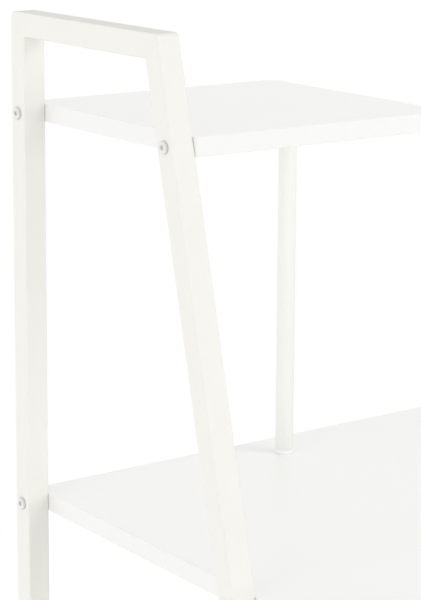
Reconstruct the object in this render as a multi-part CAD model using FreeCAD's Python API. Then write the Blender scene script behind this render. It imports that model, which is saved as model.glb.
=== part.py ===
"""Ladder desk: a tall leaning ladder frame at the left, a lower frame at the right, a desktop
across both, one small shelf above it and two below it, with round posts under the shelf ends.

Millimetres. X runs to the right, Y to the rear, Z up. The origin is on the floor, in the middle
of the width and of the depth. "Depth" is measured forward from the rear face of the frames.
"""
import FreeCAD
import Part
import math
import os
from FreeCAD import Placement, Rotation, Vector

# ---------------------------------------------------------------- driving dimensions

# Whole desk
total_height = 1170.0        # floor to the top of the ladder frame
desk_height = 760.0          # floor to the upper face of the desktop
upper_shelf_drop = 76.0      # top of the ladder frame down to the upper face of the upper shelf
bottom_shelf_height = 92.0   # floor to the upper face of the bottom shelf
desktop_width = 1000.0
desktop_depth = 500.0
shelf_width = 250.0
foot_depth = 500.0           # rear face to the front of a leg, at the floor
frame_top_depth = 212.0      # rear face to the front of the leg, at the top of the ladder frame
stretcher_height = 300.0     # floor to the upper face of the rear stretcher

# Square steel tube
tube_side = 20.0
tube_wall = 1.5
tube_corner = 1.5            # outer radius along the tube's edges
rear_bend = 6.0              # outer radius where a frame's upright meets its top bar
front_bend = 3.0             # outer radius where the top bar meets the leg

# Boards
board_thickness = 15.0
edging_thickness = 1.0
edging_round = 0.5           # radius along the upper and lower edge of the edging
free_corner = 13.0           # plan radius of a board's corner that stands free
joined_corner = 1.5          # plan radius of a board's corner against a frame
shelf_overhang = 1.5         # how far a shelf's front stands proud of the leg, at its underside

# Round posts
post_radius = 8.0
post_wall = 1.2
post_rear_setback = 41.0     # rear face to the axis of the rear posts
post_front_setback = 41.0    # front of the middle shelf to the axis of the front posts
post_end_setback = 14.0      # right end of a shelf to the axis of its posts
cap_height = 4.0             # the part of a post cap that shows
cap_radius = 8.2
spigot_length = 14.0         # the part of a cap, glide or plug that goes into a tube

# Screws, studs and nuts
screw_radius = 3.0
screw_grip = 10.0            # how far a screw goes into its nut
stud_grip = 12.0             # how far a stud goes into a post cap
head_radius = 5.25
head_height = 2.2
head_rim = 0.6               # height of the straight rim under the domed head
head_flat_radius = 3.6
socket_sides = 6
socket_width = 4.0           # across the flats of the socket
socket_depth = 1.8
nut_radius = 4.5
nut_length = 11.0
desktop_screw_count = 3
desktop_screw_gap = 40.0     # clear length of bar beyond the first and the last desktop screw

# Glides
glide_height = 4.0           # thickness of a glide under its tube

# Fits
hole_clearance = 0.3         # radial, round a screw or stud in a drilled hole
thread_clearance = 0.05      # radial, round a screw or stud in its thread
seat_clearance = 0.05        # radial, round a nut in its seat, and the glue line of an edging
spigot_clearance = 0.15      # all round a spigot in its tube
nut_seat_spare = 0.5         # depth of a nut's seat beyond the nut

# Two points this near are the same point when edges are picked by their place
same_place = 1e-6

# ---------------------------------------------------------------- derived places

overall_width = desktop_width + tube_side
left_face = -overall_width / 2
right_face = overall_width / 2
left_tube_x = left_face + tube_side / 2
right_tube_x = right_face - tube_side / 2
board_left = left_face + tube_side
shelf_right = board_left + shelf_width
post_x = shelf_right - post_end_setback

lean = (foot_depth - frame_top_depth) / total_height    # forward travel of a leg per mm down
leg_level_depth = tube_side * math.hypot(1, lean)       # a leg's size front to rear, cut level
right_frame_top = desk_height - board_thickness
beyond_all = total_height + overall_width + foot_depth  # longer than any piece in any direction

# Upper face of each narrow shelf, by name. The middle one halves the room below the desktop.
shelf_tops = {
    "upper_shelf": total_height - upper_shelf_drop,
    "middle_shelf": (desk_height + bottom_shelf_height) / 2,
    "bottom_shelf": bottom_shelf_height,
}


def y_at(depth):
    """Y of a point that lies this far in front of the rear face."""
    return foot_depth / 2 - depth


def leg_front(height):
    """Depth of a leg's front face at this height."""
    return frame_top_depth + lean * (total_height - height)


def leg_centre(height):
    """Depth of a leg's centre line at this height."""
    return leg_front(height) - leg_level_depth / 2


def leg_rear(height):
    """Depth of a leg's rear face at this height."""
    return leg_front(height) - leg_level_depth


def shelf_depth(top):
    """A shelf reaches just past the leg's front face at its underside."""
    return leg_front(top - board_thickness) + shelf_overhang


front_post_depth = shelf_depth(shelf_tops["middle_shelf"]) - post_front_setback


# ---------------------------------------------------------------- shape helpers


def placed(shape, point, direction):
    """A copy of a shape made along +Z from the origin, moved to a point and turned to a direction."""
    copy = shape.copy()
    copy.Placement = Placement(point, Rotation(Vector(0, 0, 1), direction))
    return copy


def rod(point, direction, length, radius):
    """A cylinder from a point along a direction."""
    return Part.makeCylinder(radius, length, point, direction)


def rounded_plan(x_low, y_low, x_high, y_high, radii, inset=0.0):
    """Face of a rectangle in the XY plane. radii: front left, front right, rear right, rear left.

    The outline is pulled in by the inset, and its radii shrink with it.
    """
    turns = [max(radius - inset, 0.0) for radius in radii]
    corners = [
        (x_low + inset, y_low + inset, 1, 1, 180),
        (x_high - inset, y_low + inset, -1, 1, 270),
        (x_high - inset, y_high - inset, -1, -1, 0),
        (x_low + inset, y_high - inset, 1, -1, 90),
    ]
    starts = []
    ends = []
    arcs = []
    for (x, y, in_x, in_y, first_angle), turn in zip(corners, turns):
        centre = Vector(x + in_x * turn, y + in_y * turn, 0)
        on_arc = []
        for angle in (first_angle, first_angle + 45, first_angle + 90):
            radians = math.radians(angle)
            on_arc.append(centre + Vector(math.cos(radians), math.sin(radians), 0) * turn)
        starts.append(on_arc[0])
        ends.append(on_arc[2])
        arcs.append(Part.Arc(*on_arc).toShape() if turn > 0 else None)
    edges = []
    for index, arc in enumerate(arcs):
        if arc:
            edges.append(arc)
        next_start = starts[(index + 1) % len(starts)]
        if ends[index].distanceToPoint(next_start) > 0:
            edges.append(Part.makeLine(ends[index], next_start))
    return Part.Face(Part.Wire(edges))


def square_bar(start, direction, length, side, corner):
    """A solid square bar with rounded long edges, centred on its line."""
    half = side / 2
    section = rounded_plan(-half, -half, half, half, [corner] * 4)
    return placed(section.extrude(Vector(0, 0, length)), start, direction)


def tube_bore(start, direction, length):
    """The space inside a length of the frame's square tube."""
    bore_corner = max(tube_corner - tube_wall, 0.0)
    return square_bar(start, direction, length, tube_side - 2 * tube_wall, bore_corner)


def square_tube(start, direction, length):
    """A length of the frame's square tube, open at both ends."""
    outer = square_bar(start, direction, length, tube_side, tube_corner)
    return outer.cut(tube_bore(start, direction, length))


def without_beyond(shape, point, outward):
    """The shape with all of it that lies beyond a plane cut away."""
    span = 2 * beyond_all
    block = Part.makeBox(span, span, span, Vector(-beyond_all, -beyond_all, 0))
    return shape.cut(placed(block, point, outward))


def turned(profile):
    """A round solid about Z, from a closed list of edges in the XZ plane."""
    return Part.Face(Part.Wire(profile)).revolve(Vector(0, 0, 0), Vector(0, 0, 1), 360)


def polygon_edges(points):
    """Straight edges from point to point of (radius, height) pairs, left open at the end."""
    places = [Vector(radius, 0, height) for radius, height in points]
    return [Part.makeLine(a, b) for a, b in zip(places, places[1:])]


def dome_edge(rim, flat):
    """Arc from the rim to the flat of a dome that is centred on the Z axis."""
    centre_height = (rim.Length**2 - flat.Length**2) / (2 * (rim.z - flat.z))
    centre = Vector(0, 0, centre_height)
    radius = (rim - centre).Length
    middle_way = (rim - centre) + (flat - centre)
    middle_way.normalize()
    return Part.Arc(rim, centre + middle_way * radius, flat).toShape()


# ---------------------------------------------------------------- frames


def frame_outline(centre_x, foot, top, inset=0.0):
    """A solid slab with the side outline of a frame above its foot, its two upper bends rounded.

    All of the outline but its foot is pulled in by the inset, and its bends shrink with it.
    """
    roof = top - inset
    level_inset = inset * math.hypot(1, lean)    # the inset, measured level through a leg
    roof_front = leg_front(roof) - level_inset
    corners = [(inset, foot), (inset, roof), (roof_front, roof), (leg_front(foot) - level_inset, foot)]
    low_x = centre_x - tube_side
    points = [Vector(low_x, y_at(depth), height) for depth, height in corners]
    side = Part.Face(Part.makePolygon(points + points[:1]))
    slab = side.extrude(Vector(2 * tube_side, 0, 0))
    for depth, bend in ((inset, rear_bend), (roof_front, front_bend)):
        if bend > inset:
            corner = Vector(centre_x, y_at(depth), roof)
            edges = [edge for edge in slab.Edges if edge.CenterOfMass.distanceToPoint(corner) < same_place]
            slab = slab.makeFillet(bend - inset, edges)
    return slab


def frame_tube(start, direction, length, outside, inside):
    """A length of tube cut to the outline of its frame, with its bore cut to the outline inside."""
    outer = square_bar(start, direction, length, tube_side, tube_corner).common(outside)
    return outer.cut(tube_bore(start, direction, length).common(inside))


def mitre_normal(outer, inner):
    """Normal of the mitre plane through two (depth, height) corners, pointing forward."""
    fall = outer[1] - inner[1]
    forward = inner[0] - outer[0]
    return Vector(0, -fall, forward)


def frame_tubes(centre_x, top):
    """Upright, top bar and leg of a frame, mitred into each other at the top."""
    spare = 2 * tube_side
    outside = frame_outline(centre_x, glide_height, top)
    inside = frame_outline(centre_x, -spare, top, tube_wall)
    rear_outer = (0.0, top)
    rear_inner = (tube_side, top - tube_side)
    front_outer = (leg_front(top), top)
    front_inner = (leg_rear(top - tube_side), top - tube_side)
    rear_point = Vector(centre_x, y_at(0), top)
    front_point = Vector(centre_x, y_at(leg_front(top)), top)
    rear_normal = mitre_normal(rear_outer, rear_inner)
    front_normal = mitre_normal(front_outer, front_inner)

    upright_start = Vector(centre_x, y_at(tube_side / 2), 0)
    upright = frame_tube(upright_start, Vector(0, 0, 1), top + spare, outside, inside)
    upright = without_beyond(upright, rear_point, rear_normal)

    bar_start = Vector(centre_x, y_at(-spare), top - tube_side / 2)
    bar_length = leg_front(top) + 2 * spare
    bar = frame_tube(bar_start, Vector(0, -1, 0), bar_length, outside, inside)
    bar = without_beyond(bar, rear_point, rear_normal * -1)
    bar = without_beyond(bar, front_point, front_normal)

    leg_start = Vector(centre_x, y_at(leg_centre(-spare)), -spare)
    leg_length = (top + 2 * spare) * math.hypot(1, lean) + spare
    leg = frame_tube(leg_start, Vector(0, lean, 1), leg_length, outside, inside)
    leg = without_beyond(leg, front_point, front_normal * -1)
    return upright, bar, leg


def foot_rung(centre_x, top):
    """A level tube low in a frame, from its upright to its leg."""
    centre_height = top - tube_side / 2
    start = Vector(centre_x, y_at(tube_side), centre_height)
    rung = square_tube(start, Vector(0, -1, 0), foot_depth)
    leg_face = Vector(centre_x, y_at(leg_rear(centre_height)), centre_height)
    return without_beyond(rung, leg_face, Vector(0, -1, lean))


# ---------------------------------------------------------------- boards


def board_pair(right, depth, top, radii):
    """A board's core and the edging glued round it."""
    plan = (board_left, y_at(depth), right, y_at(0))
    thickness = Vector(0, 0, board_thickness)
    outer = rounded_plan(*plan, radii).extrude(thickness)
    rims = []
    for edge in outer.Edges:
        level = edge.BoundBox.ZLength < edging_round
        if level:
            rims.append(edge)
    outer = outer.makeFillet(min(edging_round, edging_thickness / 2), rims)
    inner = rounded_plan(*plan, radii, edging_thickness).extrude(thickness)
    core_inset = edging_thickness + seat_clearance
    core = rounded_plan(*plan, radii, core_inset).extrude(thickness)
    edging = outer.cut(inner)
    lift = Vector(0, 0, top - board_thickness)
    core.translate(lift)
    edging.translate(lift)
    return core, edging


# ---------------------------------------------------------------- fasteners, along +Z


def button_screw(shank_length):
    """A domed screw with a hexagon socket. Its head lies below Z = 0, its shank above."""
    rim = Vector(head_radius, 0, -head_rim)
    flat = Vector(head_flat_radius, 0, -head_height)
    profile = polygon_edges([(0, -head_height), (0, 0), (head_radius, 0), (head_radius, -head_rim)])
    profile.append(dome_edge(rim, flat))
    profile.append(Part.makeLine(flat, Vector(0, 0, -head_height)))
    head = turned(profile)
    corner_reach = socket_width / 2 / math.cos(math.pi / socket_sides)
    outline = []
    for index in range(socket_sides + 1):
        angle = 2 * math.pi * index / socket_sides
        across = corner_reach * math.cos(angle)
        along = corner_reach * math.sin(angle)
        outline.append(Vector(across, along, -head_height))
    socket = Part.Face(Part.makePolygon(outline)).extrude(Vector(0, 0, socket_depth))
    shank = Part.makeCylinder(screw_radius, shank_length)
    return head.cut(socket).fuse(shank).removeSplitter()


def threaded_sleeve(radius, length):
    """A round insert nut with its thread bored right through."""
    body = Part.makeCylinder(radius, length)
    return body.cut(Part.makeCylinder(screw_radius + thread_clearance, length))


def post_end(flange_height, flange_radius):
    """A flange with a spigot that fills the end of a post's tube."""
    spigot_radius = post_radius - post_wall - spigot_clearance
    flange = Part.makeCylinder(flange_radius, flange_height)
    spigot = Part.makeCylinder(spigot_radius, flange_height + spigot_length)
    return flange.fuse(spigot).removeSplitter()


def post_cap():
    """A post end with a thread for the stud that clamps the post to a board."""
    body = post_end(cap_height, cap_radius)
    thread = Part.makeCylinder(screw_radius + thread_clearance, cap_height + spigot_length)
    return body.cut(thread)


# ---------------------------------------------------------------- drilling

frame_screw = button_screw(tube_side + screw_grip)
insert_nut = threaded_sleeve(nut_radius, nut_length)
right_way = Vector(1, 0, 0)
left_way = Vector(-1, 0, 0)
up_way = Vector(0, 0, 1)
down_way = Vector(0, 0, -1)


def tube_hole(seat, direction):
    """Drill for a screw right through one tube, from the seat of its head."""
    return rod(seat, direction, tube_side, screw_radius + hole_clearance)


def nut_seat(mouth, direction):
    """Drill for an insert nut, from its mouth."""
    return rod(mouth, direction, nut_length + nut_seat_spare, nut_radius + seat_clearance)


def stud_hole(post, board_top):
    """Drill for a stud right through a board, on the axis of a post."""
    foot = Vector(post.x, post.y, board_top - board_thickness)
    return rod(foot, up_way, board_thickness, screw_radius + hole_clearance)


# ---------------------------------------------------------------- the parts

parts = {}

left_upright, left_top_bar, left_leg = frame_tubes(left_tube_x, total_height)
right_upright, right_top_bar, right_leg = frame_tubes(right_tube_x, right_frame_top)
parts["right_foot_rung"] = foot_rung(right_tube_x, shelf_tops["bottom_shelf"])

# Boards: the desktop reaches over the right frame, the shelves end at their posts.
desktop_radii = (free_corner, free_corner, free_corner, joined_corner)
shelf_radii = (joined_corner, free_corner, free_corner, joined_corner)
desktop_right = board_left + desktop_width
boards = {"desktop": board_pair(desktop_right, desktop_depth, desk_height, desktop_radii)}
for name, top in shelf_tops.items():
    boards[name] = board_pair(shelf_right, shelf_depth(top), top, shelf_radii)
board_tops = {"desktop": desk_height, **shelf_tops}

# Screws through the ladder frame into the left end of every board, one per tube.
ladder_screws = []
board_insert_nuts = []
for name, top in board_tops.items():
    height = top - board_thickness / 2
    seats = []
    for depth in (tube_side / 2, leg_centre(height)):
        head_seat = Vector(left_face, y_at(depth), height)
        nut_mouth = Vector(board_left, y_at(depth), height)
        ladder_screws.append(placed(frame_screw, head_seat, right_way))
        board_insert_nuts.append(placed(insert_nut, nut_mouth, right_way))
        seats.append(nut_seat(nut_mouth, right_way))
        hole = tube_hole(head_seat, right_way)
        if depth == tube_side / 2:
            left_upright = left_upright.cut(hole)
        else:
            left_leg = left_leg.cut(hole)
    boards[name] = tuple(piece.cut(seats) for piece in boards[name])

# Rear stretcher between the uprights, with a threaded plug in each end.
stretcher_axis_height = stretcher_height - tube_side / 2
stretcher_length = overall_width - 2 * tube_side
stretcher_start = Vector(board_left, y_at(tube_side / 2), stretcher_axis_height)
parts["rear_stretcher"] = square_tube(stretcher_start, right_way, stretcher_length)
stretcher_screws = []
stretcher_end_nuts = []
plug_side = tube_side - 2 * tube_wall - 2 * spigot_clearance
plug_corner = max(tube_corner - tube_wall, 0.0)
for face, inward in ((left_face, right_way), (right_face, left_way)):
    head_seat = Vector(face, y_at(tube_side / 2), stretcher_axis_height)
    plug_start = head_seat + inward * tube_side
    stretcher_screws.append(placed(frame_screw, head_seat, inward))
    plug = square_bar(plug_start, inward, spigot_length, plug_side, plug_corner)
    plug = plug.cut(rod(plug_start, inward, spigot_length, screw_radius + thread_clearance))
    stretcher_end_nuts.append(plug)
    hole = tube_hole(head_seat, inward)
    if inward.x > 0:
        left_upright = left_upright.cut(hole)
    else:
        right_upright = right_upright.cut(hole)

# Screws up through the right frame's top bar into the desktop.
desktop_screws = []
desktop_insert_nuts = []
desktop_seats = []
bar_underside = right_frame_top - tube_side
first_depth = tube_side + desktop_screw_gap
last_depth = leg_rear(bar_underside) - desktop_screw_gap
for index in range(desktop_screw_count):
    share = index / max(desktop_screw_count - 1, 1)
    depth = first_depth + (last_depth - first_depth) * share
    head_seat = Vector(right_tube_x, y_at(depth), bar_underside)
    nut_mouth = Vector(right_tube_x, y_at(depth), right_frame_top)
    desktop_screws.append(placed(frame_screw, head_seat, up_way))
    desktop_insert_nuts.append(placed(insert_nut, nut_mouth, up_way))
    desktop_seats.append(nut_seat(nut_mouth, up_way))
    right_top_bar = right_top_bar.cut(tube_hole(head_seat, up_way))

# Posts: one column at the rear from the floor to the upper shelf, one in front below the desktop.
rear_post = Vector(post_x, y_at(post_rear_setback), 0)
front_post = Vector(post_x, y_at(front_post_depth), 0)
post_caps = []
post_glides = []
post_studs = []
post_insert_nuts = []
cap = post_cap()
foot_glide = post_end(glide_height, cap_radius)


def post_between(axis, low, high):
    """A post's tube between two heights, with a cap at its upper end and a cap or glide below."""
    on_floor = low == 0
    end_below = glide_height if on_floor else cap_height
    foot = Vector(axis.x, axis.y, low)
    head = Vector(axis.x, axis.y, high)
    if on_floor:
        post_glides.append(placed(foot_glide, foot, up_way))
    else:
        post_caps.append(placed(cap, foot, up_way))
    post_caps.append(placed(cap, head, down_way))
    tube_length = high - low - end_below - cap_height
    tube_foot = foot + up_way * end_below
    outer = rod(tube_foot, up_way, tube_length, post_radius)
    return outer.cut(rod(tube_foot, up_way, tube_length, post_radius - post_wall))


bays = [
    ("upper_post", "desktop", "upper_shelf"),
    ("middle_post", "middle_shelf", "desktop"),
    ("lower_post", "bottom_shelf", "middle_shelf"),
    ("foot_post", None, "bottom_shelf"),
]
for name, board_below, board_above in bays:
    low = board_tops[board_below] if board_below else 0
    high = board_tops[board_above] - board_thickness
    if board_above == "upper_shelf":
        parts[name] = post_between(rear_post, low, high)
    else:
        parts[name + "_rear"] = post_between(rear_post, low, high)
        parts[name + "_front"] = post_between(front_post, low, high)

# A through stud clamps a board between two posts on one axis.
through_boards = [
    ("desktop", [rear_post]),
    ("middle_shelf", [rear_post, front_post]),
    ("bottom_shelf", [rear_post, front_post]),
]
for name, axes in through_boards:
    top = board_tops[name]
    holes = []
    for axis in axes:
        stud_start = Vector(axis.x, axis.y, top - board_thickness - stud_grip)
        stud_length = board_thickness + 2 * stud_grip
        post_studs.append(rod(stud_start, up_way, stud_length, screw_radius))
        holes.append(stud_hole(axis, top))
    core, edging = boards[name]
    boards[name] = (core.cut(holes), edging)

# Where a post ends under a board with nothing above it, the stud goes into a blind insert nut.
blind_ends = [("upper_shelf", rear_post), ("desktop", front_post)]
for name, axis in blind_ends:
    underside = board_tops[name] - board_thickness
    nut_mouth = Vector(axis.x, axis.y, underside)
    stud_start = nut_mouth - up_way * stud_grip
    post_studs.append(rod(stud_start, up_way, stud_grip + screw_grip, screw_radius))
    post_insert_nuts.append(placed(insert_nut, nut_mouth, up_way))
    core, edging = boards[name]
    boards[name] = (core.cut(nut_seat(nut_mouth, up_way)), edging)

core, edging = boards["desktop"]
boards["desktop"] = (core.cut(desktop_seats), edging)
for name, (core, edging) in boards.items():
    parts[name] = core
    parts[name + "_edging"] = edging

# Glides: a plug in the foot of every tube. A leg's glide leans with the leg.
upright_glides = []
leg_glides = []
for centre_x in (left_tube_x, right_tube_x):
    for glides, foot, direction in (
        (upright_glides, tube_side / 2, Vector(0, 0, 1)),
        (leg_glides, leg_centre(0), Vector(0, lean, 1)),
    ):
        floor_point = Vector(centre_x, y_at(foot), 0)
        below = floor_point - direction * tube_side
        length = 2 * tube_side + glide_height + spigot_length
        pad = square_bar(below, direction, length, tube_side, tube_corner)
        pad = without_beyond(pad, floor_point + up_way * glide_height, up_way)
        spigot = square_bar(below, direction, length, plug_side, plug_corner)
        spigot = without_beyond(spigot, floor_point + up_way * (glide_height + spigot_length), up_way)
        glides.append(without_beyond(pad.fuse(spigot), floor_point, down_way).removeSplitter())

parts["left_upright"] = left_upright
parts["left_top_bar"] = left_top_bar
parts["left_leg"] = left_leg
parts["right_upright"] = right_upright
parts["right_top_bar"] = right_top_bar
parts["right_leg"] = right_leg

groups = {
    "ladder_screws": ladder_screws,
    "board_insert_nuts": board_insert_nuts,
    "stretcher_screws": stretcher_screws,
    "stretcher_end_nuts": stretcher_end_nuts,
    "desktop_screws": desktop_screws,
    "desktop_insert_nuts": desktop_insert_nuts,
    "post_caps": post_caps,
    "post_studs": post_studs,
    "post_insert_nuts": post_insert_nuts,
    "upright_glides": upright_glides,
    "leg_glides": leg_glides,
    "post_glides": post_glides,
}
for name, pieces in groups.items():
    parts[name] = Part.makeCompound(pieces)

# ---------------------------------------------------------------- files

os.makedirs("parts", exist_ok=True)
for name, shape in sorted(parts.items()):
    shape.exportStep("parts/" + name + ".step")
    box = shape.BoundBox
    size = f"{box.XLength:.1f} x {box.YLength:.1f} x {box.ZLength:.1f}"
    print(f"{name}: {len(shape.Solids)} solid(s), valid {shape.isValid()}, {size}")
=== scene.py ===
"""Ladder desk: its visible pieces and finishes, the floor, the lamps and the camera.

Metres, in the desk's own frame: X to the right, Y to the rear, Z up, origin on the floor in the
middle of the desk. "Depth" is measured forward from the rear face of the frames.
"""
import math
import bmesh
import bpy
from mathutils import Matrix, Vector


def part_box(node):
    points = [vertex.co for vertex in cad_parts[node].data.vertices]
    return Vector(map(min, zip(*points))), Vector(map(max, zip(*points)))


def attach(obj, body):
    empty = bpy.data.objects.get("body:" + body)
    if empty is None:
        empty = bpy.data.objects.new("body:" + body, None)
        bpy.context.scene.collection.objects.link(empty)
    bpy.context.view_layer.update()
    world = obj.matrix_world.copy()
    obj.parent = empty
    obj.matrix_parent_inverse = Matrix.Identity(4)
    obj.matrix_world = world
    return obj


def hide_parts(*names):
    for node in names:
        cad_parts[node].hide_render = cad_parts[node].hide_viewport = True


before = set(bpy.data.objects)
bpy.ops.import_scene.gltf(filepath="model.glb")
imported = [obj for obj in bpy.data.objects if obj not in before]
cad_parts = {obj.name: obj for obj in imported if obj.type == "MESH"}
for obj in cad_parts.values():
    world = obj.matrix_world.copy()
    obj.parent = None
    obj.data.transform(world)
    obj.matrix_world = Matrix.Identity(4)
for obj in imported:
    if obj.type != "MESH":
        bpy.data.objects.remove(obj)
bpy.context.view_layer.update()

# ---------------------------------------------------------------- sizes of the desk

MM = 0.001
TOP = 1170 * MM                # top of the ladder frame
DESK = 760 * MM                # upper face of the desktop
UPPER_SHELF = 1094 * MM        # upper faces of the shelves
MIDDLE_SHELF = 426 * MM
BOTTOM_SHELF = 92 * MM
STRETCHER = 300 * MM           # upper face of the rear stretcher
REAR = 250 * MM                # Y of the rear face
LEFT = -510 * MM               # X of the frames' outer faces
RIGHT = 510 * MM
FOOT_DEPTH = 500 * MM          # front of a leg on the floor
TOP_DEPTH = 212 * MM           # front of the leg at the top of the ladder frame
LEAN = (FOOT_DEPTH - TOP_DEPTH) / TOP

TUBE = 20 * MM                 # side of the square tube
WALL = 1.5 * MM
TUBE_ROUND = 1.5 * MM          # outer radius along the tube's edges
REAR_BEND = 6 * MM             # outer radius where an upright meets its top bar
FRONT_BEND = 3 * MM            # outer radius where a top bar meets its leg
WELD_ROUND = 1.2 * MM          # the filled weld in an inner corner
LEG_LEVEL = TUBE * math.hypot(1, LEAN)    # depth of a level cut through a leaning leg

BOARD = 15 * MM                # thickness of a board
BAND = 1 * MM                  # thickness of the edge band
BAND_ROUND = 0.5 * MM          # radius along the band's outer rims
PANEL_EASE = 0.02 * MM         # eased edge of a panel where the band meets it
FREE_ROUND = 13 * MM           # a board's corner that stands free
JOINED_ROUND = 1.5 * MM        # a board's corner against a tube

POST = 8 * MM                  # outer radius of a post's tube
POST_WALL = 1.2 * MM
POST_EDGE = 0.2 * MM           # broken edge at a post's ends
POST_X = -254 * MM
POST_REAR_Y = REAR - 41 * MM
CAP = 4 * MM                   # visible height of a post cap
CAP_RADIUS = 8.2 * MM
CAP_EDGE = 0.5 * MM
GLIDE = 4 * MM                 # height of every glide under its tube
GLIDE_EDGE = 0.8 * MM          # rounding of a round glide
PAD_EDGE = 0.6 * MM            # rounding under a square glide
SPIGOT = 14 * MM               # how far caps and glides go up into a tube
SPIGOT_GAP = 0.15 * MM
SPIGOT_RADIUS = POST - POST_WALL - SPIGOT_GAP
POST_BORE = SPIGOT + 1 * MM    # how deep a post's tube is hollow at each end

HEAD_RADIUS = 5.25 * MM
HEAD_HEIGHT = 2.2 * MM
HEAD_DOME = 1.6 * MM           # how far the dome takes in the head's rim
HEAD_SEAT = 0.15 * MM          # broken edge under the head
SOCKET_RADIUS = 4 * MM / math.sqrt(3)     # over the corners, for 4 mm across the flats
SOCKET_DEPTH = 1.8 * MM
SOCKET_TAPER = 0.9 * MM        # how far the socket's cone runs in from its sides
SOCKET_CONE = 0.5 * MM         # depth of that cone
SOCKET_EDGE = 0.12 * MM
SHANK_RADIUS = 3 * MM
SHANK_LENGTH = 30 * MM
SCREW_INSET = 40 * MM          # from the ends of the right top bar to its first and last screw

# ---------------------------------------------------------------- how finely things are made

NEAR = 0.02 * MM               # two places this near are the same place
ALONG = 0.9                    # share of a direction on an axis from which it lies along it
TENTHS = 4                     # decimals of a metre that give tenths of a millimetre
TURNED_SIDES = 48              # sides of a turned piece
TURNED_RIM = 35                # degrees from which a turned piece's rim stays sharp
TUBE_STEPS = 4                 # faces across each rounding
BEND_STEPS = 6
WELD_STEPS = 3
FREE_STEPS = 10
JOINED_STEPS = 3
RIM_STEPS = 3
DOME_STEPS = 7


def y_at(depth):
    """Y of a place that lies this far in front of the rear face."""
    return REAR - depth


def leg_front(height):
    """Depth of a leg's front face at this height."""
    return TOP_DEPTH + LEAN * (TOP - height)


def leg_rear(height):
    """Depth of a leg's rear face at this height."""
    return leg_front(height) - LEG_LEVEL


def leg_middle(height):
    """Depth of a leg's centre line at this height."""
    return leg_front(height) - LEG_LEVEL / 2


# ---------------------------------------------------------------- bench: selecting and shaping


def put_down():
    """Leaves edit mode and deselects everything."""
    if bpy.context.mode != "OBJECT":
        bpy.ops.object.mode_set(mode="OBJECT")
    bpy.ops.object.select_all(action="DESELECT")


def take_up(piece):
    """Makes one piece the selected and active one."""
    put_down()
    piece.select_set(True)
    bpy.context.view_layer.objects.active = piece


def open_up(piece):
    """Takes a piece into edit mode."""
    take_up(piece)
    bpy.ops.object.mode_set(mode="EDIT")


def settle(piece, name):
    """Names a new piece and moves its place into its mesh."""
    piece.name = name
    piece.data.name = name
    bpy.ops.object.transform_apply(location=True, rotation=True, scale=True)
    return piece


def choose(piece, kind, test):
    """In edit mode, selects the corners, edges or faces that pass a test, and nothing else."""
    bpy.ops.mesh.select_mode(type=kind)
    bpy.ops.mesh.select_all(action="DESELECT")
    shape = bmesh.from_edit_mesh(piece.data)
    shape.normal_update()
    for item in {"VERT": shape.verts, "EDGE": shape.edges, "FACE": shape.faces}[kind]:
        if test(item):
            item.select_set(True)
    shape.select_flush_mode()
    bmesh.update_edit_mesh(piece.data)


def middle(edge):
    """Middle of an edge."""
    return (edge.verts[0].co + edge.verts[1].co) / 2


def lies_along(edge, axis):
    """Whether an edge lies along an axis (0, 1 or 2), or leans from it no more than a leg."""
    run = (edge.verts[1].co - edge.verts[0].co).normalized()
    return abs(run[axis]) > ALONG


def is_level(face):
    """Whether a face looks straight up or down."""
    return abs(face.normal.z) > ALONG


def all_at(item, axis, value):
    """Whether every corner of an edge or face lies at one value on an axis."""
    return all(abs(corner.co[axis] - value) < NEAR for corner in item.verts)


def at_either(item, axis, low, high):
    """Whether every corner of an edge or face lies at one of two values on an axis."""
    return all_at(item, axis, low) or all_at(item, axis, high)


def off_centre(vertex, centre):
    """Distance of a corner from the upright line through a centre."""
    return math.hypot(vertex.co.x - centre.x, vertex.co.y - centre.y)


def bevel(width, steps):
    """Rounds the selected edges."""
    bpy.ops.mesh.bevel(offset=width, offset_type="OFFSET", segments=steps, profile=0.5,
                       affect="EDGES", clamp_overlap=True)


def outward(piece):
    """Merges doubles and turns every face outwards."""
    open_up(piece)
    bpy.ops.mesh.select_all(action="SELECT")
    bpy.ops.mesh.remove_doubles(threshold=NEAR / 10)
    bpy.ops.mesh.normals_make_consistent(inside=False)
    put_down()


def smooth_flat(piece):
    """Shades rounded edges smooth while the flats beside them stay flat."""
    take_up(piece)
    bpy.ops.object.shade_smooth()
    bpy.ops.object.modifier_add(type="WEIGHTED_NORMAL")
    flats_first = piece.modifiers[-1]
    flats_first.keep_sharp = True
    flats_first.weight = 100
    bpy.ops.object.modifier_apply(modifier=flats_first.name)


def smooth_round(piece):
    """Shades a turned piece smooth, with its sharp rims kept."""
    take_up(piece)
    bpy.ops.object.shade_smooth_by_angle(angle=math.radians(TURNED_RIM))


def block(name, low, high):
    """A block between its lowest and highest corner."""
    put_down()
    low, high = Vector(low), Vector(high)
    bpy.ops.mesh.primitive_cube_add(size=1, location=(low + high) / 2)
    piece = bpy.context.object
    piece.scale = high - low
    return settle(piece, name)


def round_bar(name, x, y, low, high, radius):
    """An upright round bar."""
    put_down()
    bpy.ops.mesh.primitive_cylinder_add(vertices=TURNED_SIDES, radius=radius, depth=high - low,
                                        location=(x, y, (low + high) / 2))
    return settle(bpy.context.object, name)


def copy_to(piece, name, place, turn):
    """A copy of a piece with its own mesh, turned about the origin and moved to its place."""
    take_up(piece)
    bpy.ops.object.duplicate(linked=False)
    twin = bpy.context.object
    twin.rotation_euler = turn
    twin.location = place
    return settle(twin, name)


def scrap(piece):
    """Removes a pattern piece once its copies are made."""
    take_up(piece)
    bpy.ops.object.delete()


# ---------------------------------------------------------------- finishes

COAT_IOR = 1.6                 # the boards' clear top layer
RIM_SHADE_FROM = HEAD_RADIUS - 1.2 * MM    # radius where painted shade starts to darken a screw head
RIM_SHADE_AT = HEAD_RADIUS - 0.2 * MM      # and where the painted shade at its rim is full


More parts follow.
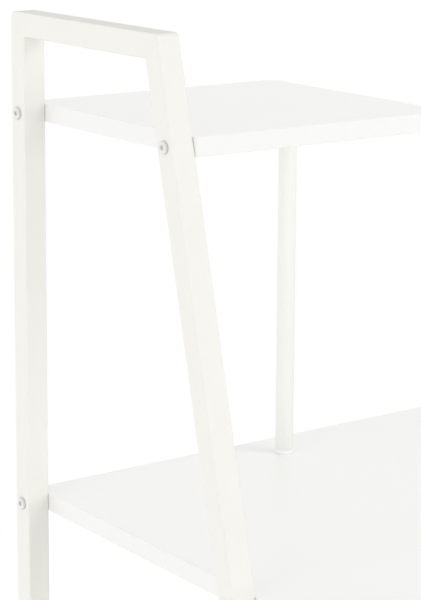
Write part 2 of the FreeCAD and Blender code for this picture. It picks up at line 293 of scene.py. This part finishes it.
def new_finish(name):
    """A material with an empty Principled shader."""
    finish = bpy.data.materials.new(name)
    finish.use_nodes = True
    nodes = finish.node_tree.nodes
    nodes.clear()
    output = nodes.new("ShaderNodeOutputMaterial")
    shader = nodes.new("ShaderNodeBsdfPrincipled")
    finish.node_tree.links.new(shader.outputs["BSDF"], output.inputs["Surface"])
    return finish, shader


def grain(finish, scale, detail, stretch=(1, 1, 1), attribute=None, rough=0.5):
    """Noise, scale patches to the metre, over the object's coordinates or a named attribute."""
    nodes, links = finish.node_tree.nodes, finish.node_tree.links
    if attribute:
        place = nodes.new("ShaderNodeAttribute")
        place.attribute_name = attribute
        source = place.outputs["Vector"]
    else:
        source = nodes.new("ShaderNodeTexCoord").outputs["Object"]
    mapping = nodes.new("ShaderNodeMapping")
    mapping.inputs["Scale"].default_value = stretch
    noise = nodes.new("ShaderNodeTexNoise")
    noise.inputs["Scale"].default_value = scale
    noise.inputs["Detail"].default_value = detail
    noise.inputs["Roughness"].default_value = rough
    links.new(source, mapping.inputs["Vector"])
    links.new(mapping.outputs["Vector"], noise.inputs["Vector"])
    return noise.outputs["Fac"]


def spread(finish, value, low, high, start=0.3, stop=0.7):
    """Spreads a value that goes from start to stop over a range; noise is mostly 0.3 to 0.7."""
    node = finish.node_tree.nodes.new("ShaderNodeMapRange")
    node.inputs["From Min"].default_value = start
    node.inputs["From Max"].default_value = stop
    node.inputs["To Min"].default_value = low
    node.inputs["To Max"].default_value = high
    finish.node_tree.links.new(value, node.inputs["Value"])
    return node.outputs["Result"]


def blend_colours(finish, value, first, second):
    """Goes from one colour to another with a value. The first may be the result of a blend."""
    node = finish.node_tree.nodes.new("ShaderNodeMix")
    node.data_type = "RGBA"
    if isinstance(first, tuple):
        node.inputs["A"].default_value = (*first, 1)
    else:
        finish.node_tree.links.new(first, node.inputs["A"])
    node.inputs["B"].default_value = (*second, 1)
    finish.node_tree.links.new(value, node.inputs["Factor"])
    return node.outputs["Result"]


def relief(finish, height, depth, strength=1.0, under=None):
    """Turns a height value into a bumped normal, over another one if given."""
    node = finish.node_tree.nodes.new("ShaderNodeBump")
    node.inputs["Strength"].default_value = strength
    node.inputs["Distance"].default_value = depth
    finish.node_tree.links.new(height, node.inputs["Height"])
    if under:
        finish.node_tree.links.new(under, node.inputs["Normal"])
    return node.outputs["Normal"]


def painted_top_light(finish):
    """Mask for painted top light: 0 on upright faces, rising to 1 on level ones that face up."""
    nodes, links = finish.node_tree.nodes, finish.node_tree.links
    surface = nodes.new("ShaderNodeNewGeometry")
    parts = nodes.new("ShaderNodeSeparateXYZ")
    links.new(surface.outputs["Normal"], parts.inputs[0])
    return spread(finish, parts.outputs["Z"], 0, 1, start=0.2, stop=0.8)


def painted(name, light, dark, roughness, peel, waves,
            specular=0.5, coat=0.0, coat_roughness=0.3, top=None):
    """A smooth coating with a faint drift of tone, uneven gloss, slow waves and a fine peel.

    roughness is its least and most. peel and waves are each a noise scale and a depth. top is a
    lighter tone painted on faces that look up: painted light from above, where it differs.
    """
    finish, shader = new_finish(name)
    links = finish.node_tree.links
    drift = spread(finish, grain(finish, scale=7, detail=3), 0, 1)
    tone = blend_colours(finish, drift, light, dark)
    # faces that look up get a lighter tone: painted light from above
    if top:
        tone = blend_colours(finish, painted_top_light(finish), tone, top)
    links.new(tone, shader.inputs["Base Color"])
    sheen = spread(finish, grain(finish, scale=40, detail=3), *roughness)
    links.new(sheen, shader.inputs["Roughness"])
    wave_scale, wave_depth = waves
    peel_scale, peel_depth = peel
    slow = relief(finish, grain(finish, wave_scale, detail=1), wave_depth)
    fine = relief(finish, grain(finish, peel_scale, detail=1), peel_depth, under=slow)
    links.new(fine, shader.inputs["Normal"])
    shader.inputs["Specular IOR Level"].default_value = specular
    shader.inputs["Coat Weight"].default_value = coat
    shader.inputs["Coat Roughness"].default_value = coat_roughness
    shader.inputs["Coat IOR"].default_value = COAT_IOR
    return finish


def off_axis(finish, attribute, start, stop):
    """0 near the own Z axis of a turned piece, rising to 1 from one radius to another."""
    nodes, links = finish.node_tree.nodes, finish.node_tree.links
    place = nodes.new("ShaderNodeAttribute")
    place.attribute_name = attribute
    across = nodes.new("ShaderNodeVectorMath")
    across.operation = "MULTIPLY"
    across.inputs[1].default_value = (1, 1, 0)
    radius = nodes.new("ShaderNodeVectorMath")
    radius.operation = "LENGTH"
    links.new(place.outputs["Vector"], across.inputs[0])
    links.new(across.outputs["Vector"], radius.inputs[0])
    return spread(finish, radius.outputs["Value"], 0, 1, start, stop)


def plated(name, light, dark, roughness, attribute=None, rim=None):
    """Bare or plated metal with fine turning marks, and painted shade towards a head's rim if given.
    """
    finish, shader = new_finish(name)
    links = finish.node_tree.links
    cloud = spread(finish, grain(finish, scale=260, detail=4, attribute=attribute), 0, 1)
    tone = blend_colours(finish, cloud, light, dark)
    # painted shade: the head darkens towards its rim, where it meets the tube
    if rim:
        outer = off_axis(finish, attribute, RIM_SHADE_FROM, RIM_SHADE_AT)
        tone = blend_colours(finish, outer, tone, rim)
    links.new(tone, shader.inputs["Base Color"])
    marks = grain(finish, scale=900, detail=3, stretch=(1, 1, 6), attribute=attribute, rough=0.6)
    links.new(spread(finish, marks, *roughness), shader.inputs["Roughness"])
    scratches = relief(finish, marks, depth=0.02 * MM, strength=0.6)
    links.new(scratches, shader.inputs["Normal"])
    shader.inputs["Metallic"].default_value = 1
    return finish


powder_coat = painted(
    "warm_white_powder_coat", light=(0.840, 0.832, 0.792), dark=(0.826, 0.818, 0.776),
    roughness=(0.50, 0.60), peel=(650, 0.010 * MM), waves=(60, 0.03 * MM), specular=0.02)
post_coat = painted(
    "white_powder_coat", light=(0.845, 0.849, 0.820), dark=(0.834, 0.838, 0.809),
    roughness=(0.42, 0.52), peel=(650, 0.008 * MM), waves=(60, 0.02 * MM), specular=0.2)
melamine = painted(
    "white_melamine", light=(0.980, 0.979, 0.960), dark=(0.970, 0.969, 0.950),
    roughness=(0.34, 0.42), peel=(900, 0.0004 * MM), waves=(18, 0.02 * MM),
    coat=0.6, coat_roughness=0.42)
# The band's faces that look up are painted lighter: painted light from above, as on the panel's top.
band_plastic = painted(
    "white_edge_band", light=(0.858, 0.856, 0.844), dark=(0.848, 0.846, 0.834),
    roughness=(0.34, 0.42), peel=(900, 0.002 * MM), waves=(40, 0.01 * MM),
    top=(0.975, 0.975, 0.962))
cap_plastic = painted(
    "white_moulded_cap", light=(0.905, 0.905, 0.895), dark=(0.890, 0.890, 0.878),
    roughness=(0.32, 0.42), peel=(900, 0.01 * MM), waves=(80, 0.01 * MM))
glide_plastic = painted(
    "off_white_glide", light=(0.84, 0.84, 0.81), dark=(0.80, 0.80, 0.77),
    roughness=(0.55, 0.65), peel=(800, 0.03 * MM), waves=(80, 0.01 * MM))
# The rim tone is painted shade: the heads darken towards their rims where they meet the tube.
screw_plating = plated(
    "zinc_plated_screw", light=(0.92, 0.92, 0.91), dark=(0.80, 0.80, 0.80),
    roughness=(0.29, 0.40), attribute="own_place", rim=(0.66, 0.66, 0.65))
insert_zinc = plated(
    "plain_zinc", light=(0.58, 0.58, 0.56), dark=(0.48, 0.48, 0.47), roughness=(0.35, 0.5))


def finish_piece(piece, slot, finish, *nodes):
    """Gives a piece its finish, its place in the frame and the solids that it stands for."""
    put_down()
    piece.data.materials.clear()
    piece.data.materials.append(finish)
    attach(piece, "root")
    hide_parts(*nodes)


# ---------------------------------------------------------------- square tubes


def at(x, corner):
    """A place from an X and a corner given as (depth, height)."""
    return Vector((x, y_at(corner[0]), corner[1]))


def same_corner(vertex, corner):
    """Whether a vertex lies on a corner given as (depth, height), at any X."""
    return math.hypot(vertex.co.y - y_at(corner[0]), vertex.co.z - corner[1]) < NEAR


def bent_tube(name, x_low, stations):
    """A square tube drawn from mitre to mitre. A station is its outer and inner (depth, height)."""
    outer, inner = stations[0]
    put_down()
    x_middle = x_low + TUBE / 2
    start = (at(x_middle, outer) + at(x_middle, inner)) / 2
    bpy.ops.mesh.primitive_plane_add(size=1, location=start)
    piece = bpy.context.object
    piece.scale = (TUBE, abs(inner[0] - outer[0]), 1)
    settle(piece, name)
    open_up(piece)
    bpy.ops.mesh.select_all(action="SELECT")
    for next_outer, next_inner in stations[1:]:
        step = at(0, next_outer) - at(0, outer)
        bpy.ops.mesh.extrude_region_move(TRANSFORM_OT_translate={"value": step})
        moved = at(0, inner) + step
        reached = (REAR - moved.y, moved.z)
        choose(piece, "VERT", lambda vertex: same_corner(vertex, reached))
        bpy.ops.transform.translate(value=at(0, next_inner) - moved)
        outer, inner = next_outer, next_inner
        choose(piece, "FACE", lambda face: all(
            same_corner(vertex, outer) or same_corner(vertex, inner) for vertex in face.verts))
    bpy.ops.mesh.select_all(action="SELECT")
    bpy.ops.mesh.normals_make_consistent(inside=False)
    bpy.ops.mesh.dissolve_limited(angle_limit=math.radians(1))
    return piece


def round_frame(piece, stations):
    """Rounds a bent tube: its outer bends, the welds in its inner bends, then its long edges."""
    for (outer, inner), radius in zip(stations[1:-1], (REAR_BEND, FRONT_BEND)):
        choose(piece, "EDGE", lambda edge: lies_along(edge, 0) and same_corner(edge.verts[0], outer))
        bevel(radius, BEND_STEPS)
        choose(piece, "EDGE", lambda edge: lies_along(edge, 0) and same_corner(edge.verts[0], inner))
        bevel(WELD_ROUND, WELD_STEPS)
    shape = bmesh.from_edit_mesh(piece.data)
    reach = [vertex.co.x for vertex in shape.verts]
    choose(piece, "EDGE", lambda edge: not all_at(edge, 2, GLIDE)
           and at_either(edge, 0, min(reach), max(reach)))
    bevel(TUBE_ROUND, TUBE_STEPS)
    put_down()
    outward(piece)
    smooth_flat(piece)


def end_frame(name, x_low, top, nodes):
    """Upright, top bar and leaning leg of one end frame, mitred and welded."""
    stations = [
        ((0, GLIDE), (TUBE, GLIDE)),
        ((0, top), (TUBE, top - TUBE)),
        ((leg_front(top), top), (leg_rear(top - TUBE), top - TUBE)),
        ((leg_front(GLIDE), GLIDE), (leg_rear(GLIDE), GLIDE)),
    ]
    piece = bent_tube(name, x_low, stations)
    round_frame(piece, stations)
    finish_piece(piece, "frame_powder_coat", powder_coat, *nodes)


def straight_tube(name, node):
    """A straight tube in the box of its solid, opened for editing."""
    low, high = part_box(node)
    piece = block(name, low, high)
    open_up(piece)
    return piece


def finish_straight_tube(piece, axis, node):
    """Rounds a straight tube's edges along its axis and gives it its finish."""
    choose(piece, "EDGE", lambda edge: lies_along(edge, axis))
    bevel(TUBE_ROUND, TUBE_STEPS)
    smooth_flat(piece)
    finish_piece(piece, "frame_powder_coat", powder_coat, node)


end_frame("left_ladder_frame", LEFT, TOP, ("left_upright", "left_top_bar", "left_leg"))
end_frame("right_frame", RIGHT - TUBE, DESK - BOARD, ("right_upright", "right_top_bar", "right_leg"))

stretcher = straight_tube("rear_stretcher_tube", "rear_stretcher")
finish_straight_tube(stretcher, 0, "rear_stretcher")

# The low rung ends on the leg's leaning rear face: its lower front edge reaches further forward.
rung = straight_tube("right_foot_rung_tube", "right_foot_rung")
rung_low, rung_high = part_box("right_foot_rung")
choose(rung, "VERT", lambda vertex: abs(vertex.co.y - rung_low.y) < NEAR
       and abs(vertex.co.z - rung_high.z) < NEAR)
bpy.ops.transform.translate(value=(0, LEAN * TUBE, 0))
finish_straight_tube(rung, 1, "right_foot_rung")

# ---------------------------------------------------------------- boards


def round_corners(piece, low, high, shrink, radii):
    """Rounds the four upright edges. radii: front left, front right, rear right, rear left."""
    places = [(low.x, low.y), (high.x, low.y), (high.x, high.y), (low.x, high.y)]
    for (x, y), radius in zip(places, radii):
        choose(piece, "EDGE", lambda edge: lies_along(edge, 2)
               and math.hypot(middle(edge).x - x, middle(edge).y - y) < NEAR)
        bevel(radius - shrink, FREE_STEPS if radius == FREE_ROUND else JOINED_STEPS)


def to_tenths(corner):
    """A corner of a box with its X and Y rounded to tenths of a millimetre."""
    return Vector((round(corner.x, TENTHS), round(corner.y, TENTHS), corner.z))


def outer_rims(band, low, high):
    """Indices of the upper and lower rim edges of a band's outer wall."""
    shape = bmesh.from_edit_mesh(band.data)
    shape.normal_update()
    shape.edges.index_update()
    centre = (low + high) / 2
    rims = set()
    for edge in shape.edges:
        walls = [face for face in edge.link_faces if not is_level(face)]
        if walls and at_either(edge, 2, low.z, high.z):
            away = middle(edge) - centre
            if walls[0].normal.x * away.x + walls[0].normal.y * away.y > 0:
                rims.add(edge.index)
    return rims


def board(name, radii):
    """A panel and the band round its edges, in the boxes of their solids."""
    low, high = (to_tenths(corner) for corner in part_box(name + "_edging"))

    inset = Vector((BAND, BAND, 0))
    panel = block(name + "_panel", low + inset, high - inset)
    open_up(panel)
    round_corners(panel, low + inset, high - inset, BAND, radii)
    choose(panel, "EDGE", lambda edge: at_either(edge, 2, low.z, high.z))
    bevel(PANEL_EASE, 1)
    smooth_flat(panel)
    finish_piece(panel, "board_melamine", melamine, name)

    band = block(name + "_edge_band", low, high)
    open_up(band)
    round_corners(band, low, high, 0, radii)
    choose(band, "FACE", lambda face: at_either(face, 2, low.z, high.z))
    bpy.ops.mesh.inset(thickness=BAND, depth=0, use_even_offset=True)
    bpy.ops.mesh.delete(type="FACE")
    choose(band, "EDGE", lambda edge: edge.is_boundary)
    bpy.ops.mesh.bridge_edge_loops()
    rims = outer_rims(band, low, high)
    choose(band, "EDGE", lambda edge: edge.index in rims)
    bevel(BAND_ROUND, RIM_STEPS)
    outward(band)
    smooth_flat(band)
    finish_piece(band, "board_edging", band_plastic, name + "_edging")


board("desktop", (FREE_ROUND, FREE_ROUND, FREE_ROUND, JOINED_ROUND))
for shelf in ("upper_shelf", "middle_shelf", "bottom_shelf"):
    board(shelf, (JOINED_ROUND, FREE_ROUND, FREE_ROUND, JOINED_ROUND))

# ---------------------------------------------------------------- posts, their caps and glides


def post_tube(name):
    """A post's tube with open ends, in the box of its solid."""
    low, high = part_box(name)
    centre = (low + high) / 2
    piece = round_bar(name + "_tube", centre.x, centre.y, low.z, high.z, POST)
    open_up(piece)
    choose(piece, "FACE", is_level)
    bpy.ops.mesh.inset(thickness=POST_WALL, depth=0)
    bpy.ops.mesh.extrude_region_shrink_fatten(TRANSFORM_OT_shrink_fatten={"value": -POST_BORE})
    choose(piece, "EDGE", lambda edge: at_either(edge, 2, low.z, high.z)
           and all(abs(off_centre(vertex, centre) - POST) < NEAR for vertex in edge.verts))
    bevel(POST_EDGE, 2)
    outward(piece)
    smooth_round(piece)
    finish_piece(piece, "post_powder_coat", post_coat, name)


for post in ("upper_post", "middle_post_rear", "middle_post_front", "lower_post_rear",
             "lower_post_front", "foot_post_rear", "foot_post_front"):
    post_tube(post)


def plug_end(name, height, edge_round):
    """A round flange on the origin with a spigot that goes up into a post's tube."""
    piece = round_bar(name, 0, 0, 0, height, CAP_RADIUS)
    open_up(piece)
    choose(piece, "EDGE", lambda edge: at_either(edge, 2, 0, height))
    bevel(edge_round, RIM_STEPS)
    choose(piece, "FACE", lambda face: all_at(face, 2, height))
    bpy.ops.mesh.inset(thickness=CAP_RADIUS - edge_round - SPIGOT_RADIUS, depth=0)
    bpy.ops.mesh.extrude_region_move(TRANSFORM_OT_translate={"value": (0, 0, SPIGOT)})
    outward(piece)
    smooth_round(piece)
    return piece


upright = (0, 0, 0)
downward = (math.pi, 0, 0)
post_front_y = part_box("lower_post_front")[0].y + POST
post_y = {"rear": POST_REAR_Y, "front": post_front_y}

cap_pattern = plug_end("cap_pattern", CAP, CAP_EDGE)
bays = [(DESK, UPPER_SHELF, ("rear",)), (MIDDLE_SHELF, DESK, ("rear", "front")),
        (BOTTOM_SHELF, MIDDLE_SHELF, ("rear", "front"))]
cap_places = []
for lower_board, upper_board, rows in bays:
    for row in rows:
        cap_places.append(((POST_X, post_y[row], lower_board), upright))
        cap_places.append(((POST_X, post_y[row], upper_board - BOARD), downward))
for y in post_y.values():
    cap_places.append(((POST_X, y, BOTTOM_SHELF - BOARD), downward))
for number, (place, turn) in enumerate(cap_places, 1):
    cap = copy_to(cap_pattern, f"post_cap_{number}", place, turn)
    finish_piece(cap, "cap_plastic", cap_plastic, "post_caps")
scrap(cap_pattern)

glide_pattern = plug_end("post_glide_pattern", GLIDE, GLIDE_EDGE)
for row, y in post_y.items():
    glide = copy_to(glide_pattern, f"post_glide_{row}", (POST_X, y, 0), upright)
    finish_piece(glide, "glide_plastic", glide_plastic, "post_glides")
scrap(glide_pattern)

# ---------------------------------------------------------------- glides of the square tubes


def tube_glide(name, x_low, rear_at, lean, node):
    """A square pad under a tube with a plug that goes up into it, along the tube."""
    level = TUBE * math.hypot(1, lean)
    low = (x_low, y_at(rear_at(0) + level), 0)
    high = (x_low + TUBE, y_at(rear_at(0)), GLIDE)
    piece = block(name, low, high)
    open_up(piece)
    choose(piece, "FACE", lambda face: all_at(face, 2, GLIDE))
    bpy.ops.transform.translate(value=(0, lean * GLIDE, 0))
    choose(piece, "EDGE", lambda edge: lies_along(edge, 2))
    bevel(TUBE_ROUND, TUBE_STEPS)
    choose(piece, "EDGE", lambda edge: all_at(edge, 2, 0))
    bevel(PAD_EDGE, RIM_STEPS)
    choose(piece, "FACE", lambda face: all_at(face, 2, GLIDE))
    bpy.ops.mesh.inset(thickness=WALL + SPIGOT_GAP, depth=0)
    bpy.ops.mesh.extrude_region_move(
        TRANSFORM_OT_translate={"value": (0, lean * SPIGOT, SPIGOT)})
    outward(piece)
    smooth_flat(piece)
    finish_piece(piece, "glide_plastic", glide_plastic, node)


for end, x_low in (("left", LEFT), ("right", RIGHT - TUBE)):
    tube_glide(f"{end}_upright_glide", x_low, lambda height: 0, 0, "upright_glides")
    tube_glide(f"{end}_leg_glide", x_low, leg_rear, LEAN, "leg_glides")

# ---------------------------------------------------------------- screws


def screw_pattern():
    """A domed screw with a hexagon socket: head above the origin's plane, shank below it."""
    piece = round_bar("screw_pattern", 0, 0, 0, HEAD_HEIGHT, HEAD_RADIUS)
    open_up(piece)
    choose(piece, "EDGE", lambda edge: all_at(edge, 2, HEAD_HEIGHT))
    bevel(HEAD_DOME, DOME_STEPS)
    choose(piece, "EDGE", lambda edge: all_at(edge, 2, 0))
    bevel(HEAD_SEAT, 1)
    choose(piece, "FACE", lambda face: all_at(face, 2, 0))
    bpy.ops.mesh.inset(thickness=HEAD_RADIUS - HEAD_SEAT - SHANK_RADIUS, depth=0)
    bpy.ops.mesh.extrude_region_move(TRANSFORM_OT_translate={"value": (0, 0, -SHANK_LENGTH)})
    outward(piece)

    put_down()
    bpy.ops.mesh.primitive_cylinder_add(vertices=6, radius=SOCKET_RADIUS, depth=2 * SOCKET_DEPTH,
                                        location=(0, 0, HEAD_HEIGHT))
    cutter = settle(bpy.context.object, "socket_cutter")
    open_up(cutter)
    choose(cutter, "FACE", lambda face: all_at(face, 2, HEAD_HEIGHT - SOCKET_DEPTH))
    bpy.ops.mesh.inset(thickness=SOCKET_TAPER, depth=SOCKET_CONE)
    take_up(piece)
    bpy.ops.object.modifier_add(type="BOOLEAN")
    cut = piece.modifiers[-1]
    cut.operation = "DIFFERENCE"
    cut.solver = "EXACT"
    cut.object = cutter
    bpy.ops.object.modifier_apply(modifier=cut.name)
    scrap(cutter)

    open_up(piece)
    axis = Vector((0, 0, 0))
    choose(piece, "EDGE", lambda edge: all_at(edge, 2, HEAD_HEIGHT)
           and all(off_centre(vertex, axis) < SOCKET_RADIUS + NEAR for vertex in edge.verts))
    bevel(SOCKET_EDGE, 1)
    smooth_round(piece)
    own_place = piece.data.attributes.new("own_place", "FLOAT_VECTOR", "POINT")
    for vertex, entry in zip(piece.data.vertices, own_place.data):
        entry.vector = vertex.co
    return piece


def clocked(turn, degrees):
    """A turn that also rolls the screw about its own axis, so that no two sockets match."""
    roll = Matrix.Rotation(math.radians(degrees), 4, "Z")
    tilt = Matrix.Rotation(turn[1], 4, "Y") @ Matrix.Rotation(turn[0], 4, "X")
    return (tilt @ roll).to_euler()


def set_screw(name, node, place, turn, degrees):
    """Sets one screw with its head's seat at a place."""
    screw = copy_to(screws, name, place, clocked(turn, degrees))
    finish_piece(screw, "screw_steel", screw_plating, node)


screws = screw_pattern()
to_left = (0, -math.pi / 2, 0)
to_right = (0, math.pi / 2, 0)

board_tops = {"upper_shelf": UPPER_SHELF, "desktop": DESK, "middle_shelf": MIDDLE_SHELF,
              "bottom_shelf": BOTTOM_SHELF}
for number, (name, top) in enumerate(board_tops.items()):
    height = top - BOARD / 2
    set_screw(f"{name}_upright_screw", "ladder_screws", (LEFT, y_at(TUBE / 2), height),
              to_left, degrees=11 + 17 * number)
    set_screw(f"{name}_leg_screw", "ladder_screws", (LEFT, y_at(leg_middle(height)), height),
              to_left, degrees=23 + 31 * number)
stretcher_height = STRETCHER - TUBE / 2
set_screw("stretcher_left_screw", "stretcher_screws", (LEFT, y_at(TUBE / 2), stretcher_height),
          to_left, degrees=8)
set_screw("stretcher_right_screw", "stretcher_screws", (RIGHT, y_at(TUBE / 2), stretcher_height),
          to_right, degrees=41)
bar_underside = DESK - BOARD - TUBE
first_depth = TUBE + SCREW_INSET
last_depth = leg_rear(bar_underside) - SCREW_INSET
for number in range(3):
    depth = first_depth + (last_depth - first_depth) * number / 2
    set_screw(f"desktop_screw_{number + 1}", "desktop_screws",
              (RIGHT - TUBE / 2, y_at(depth), bar_underside), downward, degrees=19 + 27 * number)
scrap(screws)

# ---------------------------------------------------------------- pieces kept from the solids

for node in ("board_insert_nuts", "desktop_insert_nuts", "post_insert_nuts", "post_studs",
             "stretcher_end_nuts"):
    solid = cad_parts[node]
    solid.data.materials.clear()
    solid.data.materials.append(insert_zinc)

# ---------------------------------------------------------------- floor and surroundings

AMBIENT = 0.762                # light that the white surroundings give
WHITE = (1, 1, 1, 1)
FLOOR_COLOUR = (0.80, 0.80, 0.79, 1)
FLOOR_LIFT = 0.34              # lift of the floor towards white where it is seen directly
FLOOR_SIDE = 60                # metres
PLAIN_FROM = 1.3               # distance from the desk's middle where the floor starts to fade
PLAIN_AT = 2.1                 # and where it is plain white


def seen_directly(nodes, links):
    """1 for camera, glossy and transmission rays, 0 for the light that falls on things."""
    path = nodes.new("ShaderNodeLightPath")
    total = path.outputs["Is Camera Ray"]
    for name in ("Is Glossy Ray", "Is Transmission Ray"):
        add = nodes.new("ShaderNodeMath")
        add.operation = "MAXIMUM"
        links.new(total, add.inputs[0])
        links.new(path.outputs[name], add.inputs[1])
        total = add.outputs[0]
    return total


def white_surroundings():
    """A world that is plain white where it is seen directly, and lights the desk a little less."""
    world = bpy.data.worlds.new("studio")
    bpy.context.scene.world = world
    world.use_nodes = True
    nodes, links = world.node_tree.nodes, world.node_tree.links
    nodes.clear()
    output = nodes.new("ShaderNodeOutputWorld")
    background = nodes.new("ShaderNodeBackground")
    strength = nodes.new("ShaderNodeMapRange")
    strength.inputs["To Min"].default_value = AMBIENT
    strength.inputs["To Max"].default_value = 1.0
    links.new(seen_directly(nodes, links), strength.inputs["Value"])
    links.new(strength.outputs["Result"], background.inputs["Strength"])
    background.inputs["Color"].default_value = WHITE
    links.new(background.outputs["Background"], output.inputs["Surface"])


def pale_floor_paint():
    """A matt pale paint that keeps shadows near the desk and fades to plain white further out."""
    paint = bpy.data.materials.new("pale_floor")
    paint.use_nodes = True
    nodes, links = paint.node_tree.nodes, paint.node_tree.links
    nodes.clear()
    output = nodes.new("ShaderNodeOutputMaterial")
    seen = seen_directly(nodes, links)

    matt = nodes.new("ShaderNodeBsdfDiffuse")
    matt.inputs["Color"].default_value = FLOOR_COLOUR
    lifted = nodes.new("ShaderNodeMath")
    lifted.operation = "MULTIPLY"
    lifted.inputs[1].default_value = FLOOR_LIFT
    links.new(seen, lifted.inputs[0])
    lift = nodes.new("ShaderNodeEmission")
    lift.inputs["Color"].default_value = WHITE
    links.new(lifted.outputs[0], lift.inputs["Strength"])
    near_floor = nodes.new("ShaderNodeAddShader")
    links.new(matt.outputs[0], near_floor.inputs[0])
    links.new(lift.outputs[0], near_floor.inputs[1])

    place = nodes.new("ShaderNodeTexCoord")
    distance = nodes.new("ShaderNodeVectorMath")
    distance.operation = "LENGTH"
    links.new(place.outputs["Object"], distance.inputs[0])
    fade = nodes.new("ShaderNodeMapRange")
    fade.interpolation_type = "SMOOTHSTEP"
    fade.inputs["From Min"].default_value = PLAIN_FROM
    fade.inputs["From Max"].default_value = PLAIN_AT
    links.new(distance.outputs["Value"], fade.inputs["Value"])
    share = nodes.new("ShaderNodeMath")
    share.operation = "MULTIPLY"
    links.new(fade.outputs["Result"], share.inputs[0])
    links.new(seen, share.inputs[1])

    plain = nodes.new("ShaderNodeEmission")
    plain.inputs["Color"].default_value = WHITE
    whole = nodes.new("ShaderNodeMixShader")
    links.new(share.outputs[0], whole.inputs["Fac"])
    links.new(near_floor.outputs[0], whole.inputs[1])
    links.new(plain.outputs[0], whole.inputs[2])
    links.new(whole.outputs[0], output.inputs["Surface"])
    return paint


white_surroundings()
put_down()
bpy.ops.mesh.primitive_plane_add(size=FLOOR_SIDE, location=(0, 0, 0))
studio_floor = settle(bpy.context.object, "studio_floor")
studio_floor.data.materials.append(pale_floor_paint())

# ---------------------------------------------------------------- lamps


def lamp(name, place, target, width, height, power):
    """A rectangular soft lamp that faces a target; it lays no glare on the boards from any side."""
    data = bpy.data.lights.new(name, "AREA")
    data.shape = "RECTANGLE"
    data.size = width
    data.size_y = height
    data.energy = power
    piece = bpy.data.objects.new(name, data)
    bpy.context.scene.collection.objects.link(piece)
    piece.location = place
    piece.rotation_euler = (Vector(target) - Vector(place)).to_track_quat("-Z", "Y").to_euler()
    piece.visible_camera = False
    piece.visible_glossy = False


lamp("key_lamp", place=(1.62, -2.37, 3.38), target=(-0.25, 0.2, 0.95),
     width=1.6, height=1.6, power=24)
lamp("front_lamp", place=(0.9, -3.7, 1.1), target=(-0.2, 0, 0.8),
     width=2.0, height=1.2, power=32)
lamp("left_lamp", place=(-3.6, -0.8, 1.0), target=(-0.2, 0, 0.85),
     width=2.2, height=1.8, power=28)
lamp("rear_lamp", place=(-3.0, 2.0, 1.0), target=(-0.2, 0, 0.85),
     width=2.0, height=1.8, power=12)

# ---------------------------------------------------------------- camera

CAMERA_PLACE = (-1.39338, -1.26168, 1.33877)
YAW = 0.6226622                # radians from straight to the rear towards the right
PITCH = 0.1847405              # radians downward
ROLL = 0.0051557
SENSOR_SIDE = 36               # millimetres
FRAME_HEIGHT = 600
AXIS_ROW = 200.5               # image row of the camera's axis
FOCAL_ROWS = 2136.6            # focal length in image rows
VIEW_REACH = 200               # metres

up = Vector((0, 0, 1))
forward = Vector((math.sin(YAW), math.cos(YAW), 0))
rightward = Vector((math.cos(YAW), -math.sin(YAW), 0))
looking = forward * math.cos(PITCH) - up * math.sin(PITCH)
tipped_up = up * math.cos(PITCH) + forward * math.sin(PITCH)
camera_right = rightward * math.cos(ROLL) + tipped_up * math.sin(ROLL)
camera_up = tipped_up * math.cos(ROLL) - rightward * math.sin(ROLL)

lens = bpy.data.cameras.new("front_left_camera")
lens.sensor_width = SENSOR_SIDE
lens.lens = FOCAL_ROWS / FRAME_HEIGHT * SENSOR_SIDE
lens.shift_y = (AXIS_ROW - FRAME_HEIGHT / 2) / FRAME_HEIGHT
lens.clip_end = VIEW_REACH
camera = bpy.data.objects.new("front_left_camera", lens)
bpy.context.scene.collection.objects.link(camera)
camera_turn = Matrix((camera_right, camera_up, -looking)).transposed().to_4x4()
camera.matrix_world = Matrix.Translation(Vector(CAMERA_PLACE)) @ camera_turn
bpy.context.scene.camera = camera
bpy.context.scene.view_settings.view_transform = "Standard"

# ---------------------------------------------------------------- leave nothing selected

put_down()
